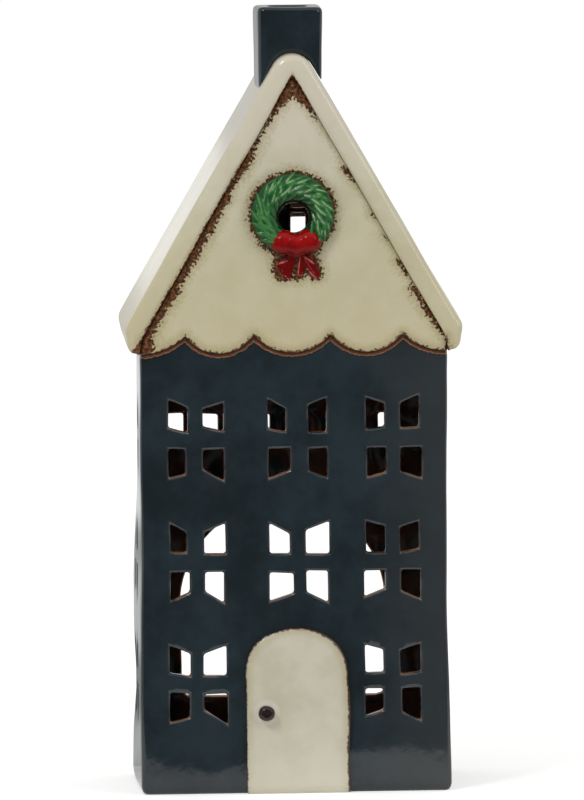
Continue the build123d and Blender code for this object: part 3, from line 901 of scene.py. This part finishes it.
# The wreath: a ring of clay covered with three rows of pointed leaves, leaning clockwise and outwards.
# Green glaze, dark between the leaves and broken to a pale green along their ridges, with painted highlights
# on the ridges that grow towards the upper right and painted shade inside the ring above the hole. A row is
# its radius, its number of leaves and their length. No leaf lies under the bow, in an oval given by its
# middle and its half sizes, in millimetres from the wreath's middle.
ring_radius = 11.05 * mm
ring_thickness = 5.15 * mm
ring_lift = 0.1 * mm
leaf_rows = ((8 * mm, 15, 8 * mm), (10.8 * mm, 20, 10 * mm), (13.4 * mm, 25, 9.5 * mm))
leaf_lean = math.radians(56)
leaf_half_width = 1.25 * mm
leaf_rise = 0.95 * mm
bow_middle = (0.8, -11)
bow_reach = (8.8, 5.2)


def gable_point(x, up, out):
    """A place on the front gable, from the wreath's middle: to the right, up and out of the wall."""
    return Vector((x, panel_front - out, wreath_height + up))


ring = primitive(bpy.ops.mesh.primitive_torus_add, major_segments=72, minor_segments=20,
                 major_radius=ring_radius, minor_radius=ring_thickness,
                 location=gable_point(0, 0, ring_lift), rotation=upright)
leaf = primitive(bpy.ops.mesh.primitive_uv_sphere_add, segments=12, ring_count=10, radius=1,
                 rotation=(0, math.radians(90), 0))
for vertex in leaf.data.vertices:
    along, across, up = vertex.co
    point = max(1 - 0.5 * max(along, 0) ** 2 - 0.15 * along, 0.05)
    ridge = max(1 - abs(across) * 1.4, 0)
    vertex.co = (along, across * point + 0.3 * along * along, up * (0.62 + 0.55 * ridge) * point)
leaves = []
midribs = []
for row, (row_radius, count, leaf_length) in enumerate(leaf_rows):
    for number in range(count):
        turn = 2 * math.pi * (number + 0.5 * row + chance.uniform(-0.16, 0.16)) / count
        away = (row_radius - ring_radius) / ring_thickness
        outward = math.sqrt(max(1 - away * away, 0.05))
        radial = Vector((math.cos(turn), 0, math.sin(turn)))
        normal = (radial * away + Vector((0, -outward, 0))).normalized()
        clockwise = Vector((math.sin(turn), 0, -math.cos(turn)))
        lean = leaf_lean + chance.uniform(-0.14, 0.14)
        direction = radial * math.cos(lean) + clockwise * math.sin(lean)
        direction = (direction - normal * direction.dot(normal) + normal * 0.14).normalized()
        crosswise = normal.cross(direction).normalized()
        seat = gable_point(0, 0, ring_lift) + radial * row_radius + Vector((0, -outward * ring_thickness, 0))
        half_length = leaf_length / 2 * chance.uniform(0.88, 1.12)
        ends = [seat + direction * half_length * end for end in (0, 0.9)]
        if any(math.hypot((end.x / mm - bow_middle[0]) / bow_reach[0],
                          ((end.z - wreath_height) / mm - bow_middle[1]) / bow_reach[1]) < 1 for end in ends):
            continue
        laid = Matrix((direction * half_length, crosswise * leaf_half_width,
                       direction.cross(crosswise) * leaf_rise)).transposed().to_4x4()
        copy = put("one_leaf", leaf.data.copy())
        copy.data.transform(Matrix.Translation(seat) @ laid)
        leaves.append(copy)
        bend = crosswise * leaf_half_width * 0.3 + normal * leaf_rise
        crown = seat + normal * leaf_rise
        stem, tip = [seat + bend + direction * half_length * end for end in (-0.7, 0.8)]
        midribs += [(tuple(stem / mm), tuple(crown / mm), 0), (tuple(crown / mm), tuple(tip / mm), 0)]
bpy.data.objects.remove(leaf)
wreath = fused("leaf_wreath", [*leaves, ring], 0.26 * mm, 2)
mark(wreath, "from_hole", lambda x, y, z: np.hypot(x, z - wreath_height) / mm)
mark(wreath, "ridge", lambda *places: np.clip(1.9 - from_strokes(np.stack(places, 1) / mm, midribs), 0, 2))
for vertex in wreath.data.vertices:
    out_from_hole = math.hypot(vertex.co.x, vertex.co.z - wreath_height) - sight_radius
    vertex.co.z -= sight_drop * min(max(1 - out_from_hole / (8 * mm), 0), 1)
    vertex.co.x += ring_aside * min(max(out_from_hole / (4 * mm), 0), 1)
    vertex.co.y = min(vertex.co.y, panel_front + 0.5 * mm)
green_glaze, shader, place, colour = glaze("green_gloss_glaze", "#1b5529", "#3b7d3d", 5 * mm, 0.16, 0.28)
ridge = marked(place, "ridge")
hollow = smooth_step(ridge, 1.15, 0.6)
patches = smooth_step(mottled(place, 2.6 * mm, 2), 0.36, 0.56)
broken = times(smooth_step(ridge, 1.35, 1.75), patches)
# The pale ridges are glaze broken thin and partly painted highlights: they are painted stronger towards the
# upper right.
sides = add(place, "ShaderNodeVectorMath", {0: place, 1: (0.6, 0, 0.8)}, out=1, operation="DOT_PRODUCT")
painted_glint_to_upper_right = ranged(sides, (0.8 * wreath_height - 9 * mm, 0.8 * wreath_height + 4 * mm), (0.15, 0.75))
broken = times(broken, painted_glint_to_upper_right)
# Painted shade on the inner side of the ring, darkest above the hole, where the ring faces down.
upper = ranged(axis(place, 2), (wreath_height - 6 * mm, wreath_height + 3 * mm), (0.3, 0.9))
painted_shade_in_hole = times(smooth_step(marked(place, "from_hole"), 10, 6.8), upper)
feed(shader, {"Base Color": layered(
    colour, (hollow, "#14502a"), (broken, "#9db888"), (painted_shade_in_hole, "#08180c"))})
fire(wreath, green_glaze)
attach(wreath, "house")
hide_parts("wreath")


# The bow: a plump double loop and three short tails, modelled in one lump and pressed on to the wreath's
# foot. Red glaze, deep in the folds and broken to pink along the edges, with painted shade darkening its
# lower part. Places are in millimetres from the wreath's middle. A lump is its middle, with how far it stands
# out, its half sizes and its tilt.
bow_lumps = (
    ((-4.2, -10.7, 2.8), (5.4, 4.9, 4.4), 12),
    ((5.8, -10.4, 2.8), (5.2, 4.9, 4.4), -12),
    ((0.8, -11.7, 2.7), (6.0, 4.3, 4.2), 0),
    ((0.6, -14.6, 2.0), (4.4, 2.4, 3.3), 0),
)
bow_tails = (
    ((-2.6, -16.2), (1.2, -16.2), (0.1, -20.4), (-1.7, -26.2), (-5.2, -23.2), (-7.2, -19.8)),
    ((2.3, -16), (4.0, -16), (4.2, -23.9), (1.2, -24.3)),
    ((3.4, -16), (6.2, -16), (8.6, -19.2), (10.7, -24.0), (9.3, -26.2), (4.9, -21.6)),
)
tail_thickness = 1.7 * mm
tail_depth = 0.5 * mm
fold_reach = 0.4
bow_pieces = []
for (x, up, out), (half_long, half_tall, half_deep), tilt in bow_lumps:
    lump = primitive(bpy.ops.mesh.primitive_uv_sphere_add, segments=32, ring_count=20, radius=1)
    turn = Matrix.Rotation(math.radians(tilt), 4, "Y")
    size = Matrix.Diagonal((half_long * mm, half_deep * mm, half_tall * mm, 1))
    lump.data.transform(Matrix.Translation(gable_point(x * mm, up * mm, out * mm)) @ turn @ size)
    bow_pieces.append(lump)
bow_pieces = [fused("bow_loops", bow_pieces, 0.3 * mm, 24)]
for outline in bow_tails:
    tail = prism([(x, 0, up) for x, up in outline], gable_point(0, 0, -tail_depth),
                 Vector((0, -tail_thickness - tail_depth, 0)))
    finish_with(tail, "BEVEL", width=0.5 * mm, segments=2, limit_method="NONE")
    bow_pieces.append(tail)
bow = fused("pressed_bow", bow_pieces, 0.28 * mm, 4)
fold_lines = [(start, end, 0) for start, end in (
    ((0.2, -15.8), (-2.2, -14.8)), ((1.3, -15.8), (3.9, -14.8)), ((-0.2, -16.8), (-1.4, -24)),
    ((-0.8, -16.8), (-4.6, -22)), ((4.4, -17), (9.6, -24.8)), ((3.4, -16.8), (3.2, -22.6)))]
worn_lines = [(start, end, 0) for start, end in (
    ((-7.2, -19.6), (-2.6, -18.4)), ((-1.8, -26), (-3.4, -24.4)), ((2.2, -17.2), (1.5, -24)),
    ((4.6, -17), (7.8, -19.2)), ((5.0, -21.2), (9.2, -26)), ((1.2, -24.2), (3.8, -24)))]
mark(bow, "fold", lambda x, y, z: from_strokes(on_front(x, z), fold_lines))
mark(bow, "worn", lambda x, y, z: from_strokes(on_front(x, z), worn_lines))
depths = np.empty(len(bow.data.vertices))
bow.data.attributes["fold"].data.foreach_get("value", depths)
for vertex, distance in zip(bow.data.vertices, depths):
    vertex.co.y += 0.5 * mm * math.exp(-(distance / fold_reach) ** 2)
    vertex.co.y = min(max(vertex.co.y, cad_box[0].y + 0.4 * mm), panel_front + 0.5 * mm)
red_glaze, shader, place, colour = glaze("red_gloss_glaze", "#850a0a", "#a81412", 4 * mm, 0.13, 0.14)
# Deeper red in the folds, and painted shade darkening the lower part of the bow.
deep = maths("MAXIMUM", ranged(marked(place, "fold"), (0, 0.6), (0.7, 0)),
             ranged(axis(place, 2), (wreath_height - 10 * mm, wreath_height - 16 * mm), (0, 0.75)))
broken = times(smooth_step(marked(place, "worn"), 0.5, 0.2),
               smooth_step(mottled(place, 1.6 * mm, 2), 0.36, 0.5))
feed(shader, {"Base Color": layered(colour, (deep, "#5a0707"), (broken, "#c0655a"))})
fire(bow, red_glaze)
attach(bow, "house")
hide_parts("bow_loops", "bow_knot", "bow_tails")


# The tealight's cup: drawn aluminium foil, fluted round its side by the draw, with a rolled rim.
cup_low, cup_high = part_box("tealight_cup")
tealight_foot = Vector(((cup_low.x + cup_high.x) / 2, (cup_low.y + cup_high.y) / 2, cup_low.z))
cup_section = ((0, 0.5), (13.6, 0.5), (14.6, 0), (17.3, 0), (17.8, 0.4), (18, 1.4), (18.45, 14.2),
               (18.6, 15.1), (19, 15.25), (19.2, 15.6), (19, 15.95), (18.6, 16), (18.25, 15.7),
               (18.15, 14.2), (17.75, 1.6), (17.4, 0.9), (16.8, 0.6), (0, 0.6))
flutes = 64
flute_depth = 0.11 * mm


def turned(name, section, steps):
    """Turn a section, in millimetres as (radius, height), about the tealight's axis."""
    outline = bpy.data.meshes.new(name)
    outline.from_pydata([(radius * mm, 0, height * mm) for radius, height in section],
                        [(number, number + 1) for number in range(len(section) - 1)], [])
    piece = put(name, outline)
    finish_with(piece, "SCREW", steps=steps, render_steps=steps, use_merge_vertices=True,
                merge_threshold=0.001 * mm, use_normal_calculate=True)
    on_whole(piece, bpy.ops.mesh.normals_make_consistent, inside=False)
    piece.data.transform(Matrix.Translation(tealight_foot))
    return piece


cup = turned("foil_cup", cup_section, 4 * flutes)
for vertex in cup.data.vertices:
    spoke = (vertex.co - tealight_foot).to_2d()
    height = vertex.co.z - tealight_foot.z
    up = (height - mm) / (14 * mm)
    if spoke.length > 17.5 * mm and 0 < up < 1:
        swell = flute_depth * math.cos(flutes * math.atan2(spoke.y, spoke.x)) * math.sin(math.pi * up)
        vertex.co.xy += spoke.normalized() * swell
only(cup)
bpy.ops.object.shade_smooth_by_angle(angle=math.radians(50))
foil, shader, place = new_material("drawn_aluminium_foil", {
    "Base Color": linear("#cfd1d2"), "Metallic": 1})
rolled = mottled(add(place, "ShaderNodeMapping", {"Vector": place, "Scale": (9, 1, 1)}), 6 * mm, 4)
feed(shader, {"Roughness": ranged(rolled, target=(0.2, 0.45)),
                    "Normal": bumped(mottled(place, 2.5 * mm, 3), 0.35, 0.1 * mm)})
cup.data.materials.append(foil)
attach(cup, "tealight")
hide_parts("tealight_cup")


# The wax: poured paraffin that shrank a little as it set, so it has a meniscus at the cup and at the wick.
wax_section = ((0.9, 3.7), (0.9, 13.6), (1.3, 13.3), (2.2, 13.05), (5, 12.95), (11, 13.05), (15.2, 13.2),
               (16.6, 13.35), (17.2, 13.4), (17.35, 13.1), (17.15, 1.6), (16.7, 0.8), (6.7, 0.8), (6.7, 1),
               (1.7, 1), (1.7, 3.7), (0.9, 3.7))
wax = turned("paraffin_fill", wax_section, 96)
finish_with(wax, "SUBSURF", levels=1, render_levels=1)
bpy.ops.object.shade_smooth()
paraffin, shader, place = new_material("white_paraffin_wax", {
    "Roughness": 0.42, "Subsurface Weight": 0.35, "Subsurface Scale": 3 * mm})
frosted = mottled(place, 3 * mm, 5, 0.7)
feed(shader, {"Base Color": mixed(smooth_step(frosted, 0.35, 0.7), "#e9e5d8", "#f6f4ec"),
                    "Normal": bumped(frosted, 0.3, 0.12 * mm)})
wax.data.materials.append(paraffin)
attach(wax, "tealight")
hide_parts("tealight_wax")


# The wick: three strands of cotton laid in a twist and waxed, held in the sustainer, a tinned disc of steel.
strands = 3
strand_radius = 0.4 * mm
strand_lay = 0.38 * mm
wick_turns = 5
wick_low, wick_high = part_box("tealight_wick")
strand_pieces = []
for strand in range(strands):
    twist = primitive(bpy.ops.mesh.primitive_circle_add, vertices=10, radius=strand_radius,
                      rotation=upright, location=(strand_lay, 0, 0), fill_type="NGON")
    finish_with(twist, "SCREW", steps=18 * wick_turns, render_steps=18 * wick_turns,
                angle=2 * math.pi * wick_turns, screw_offset=wick_high.z - wick_low.z - 2 * strand_radius)
    start = Matrix.Translation((tealight_foot.x, tealight_foot.y, wick_low.z + strand_radius))
    twist.data.transform(start @ Matrix.Rotation(2 * math.pi * strand / strands, 4, "Z"))
    strand_pieces.append(twist)
only(*strand_pieces)
bpy.ops.object.join()
wick = bpy.context.object
wick.name = "twisted_wick"
on_whole(wick, bpy.ops.mesh.normals_make_consistent, inside=False)
bpy.ops.object.shade_smooth()
cotton, shader, place = new_material("waxed_cotton", {"Roughness": 0.7})
fibre = mottled(add(place, "ShaderNodeMapping", {"Vector": place, "Scale": (4, 4, 1)}), 0.5 * mm, 3)
feed(shader, {"Base Color": mixed(fibre, "#cfc6b2", "#efeadd"),
                    "Normal": bumped(fibre, 0.5, 0.06 * mm)})
wick.data.materials.append(cotton)
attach(wick, "tealight")
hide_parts("tealight_wick")
tinned, shader, place = new_material("tinned_steel", {"Base Color": linear("#b9babb"), "Metallic": 1})
spangle = add(place, "ShaderNodeTexVoronoi", {"Vector": place, "Scale": 1 / (1.2 * mm)})
feed(shader, {"Roughness": ranged(spangle, target=(0.25, 0.5))})
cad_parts["wick_sustainer"].data.materials.clear()
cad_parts["wick_sustainer"].data.materials.append(tinned)
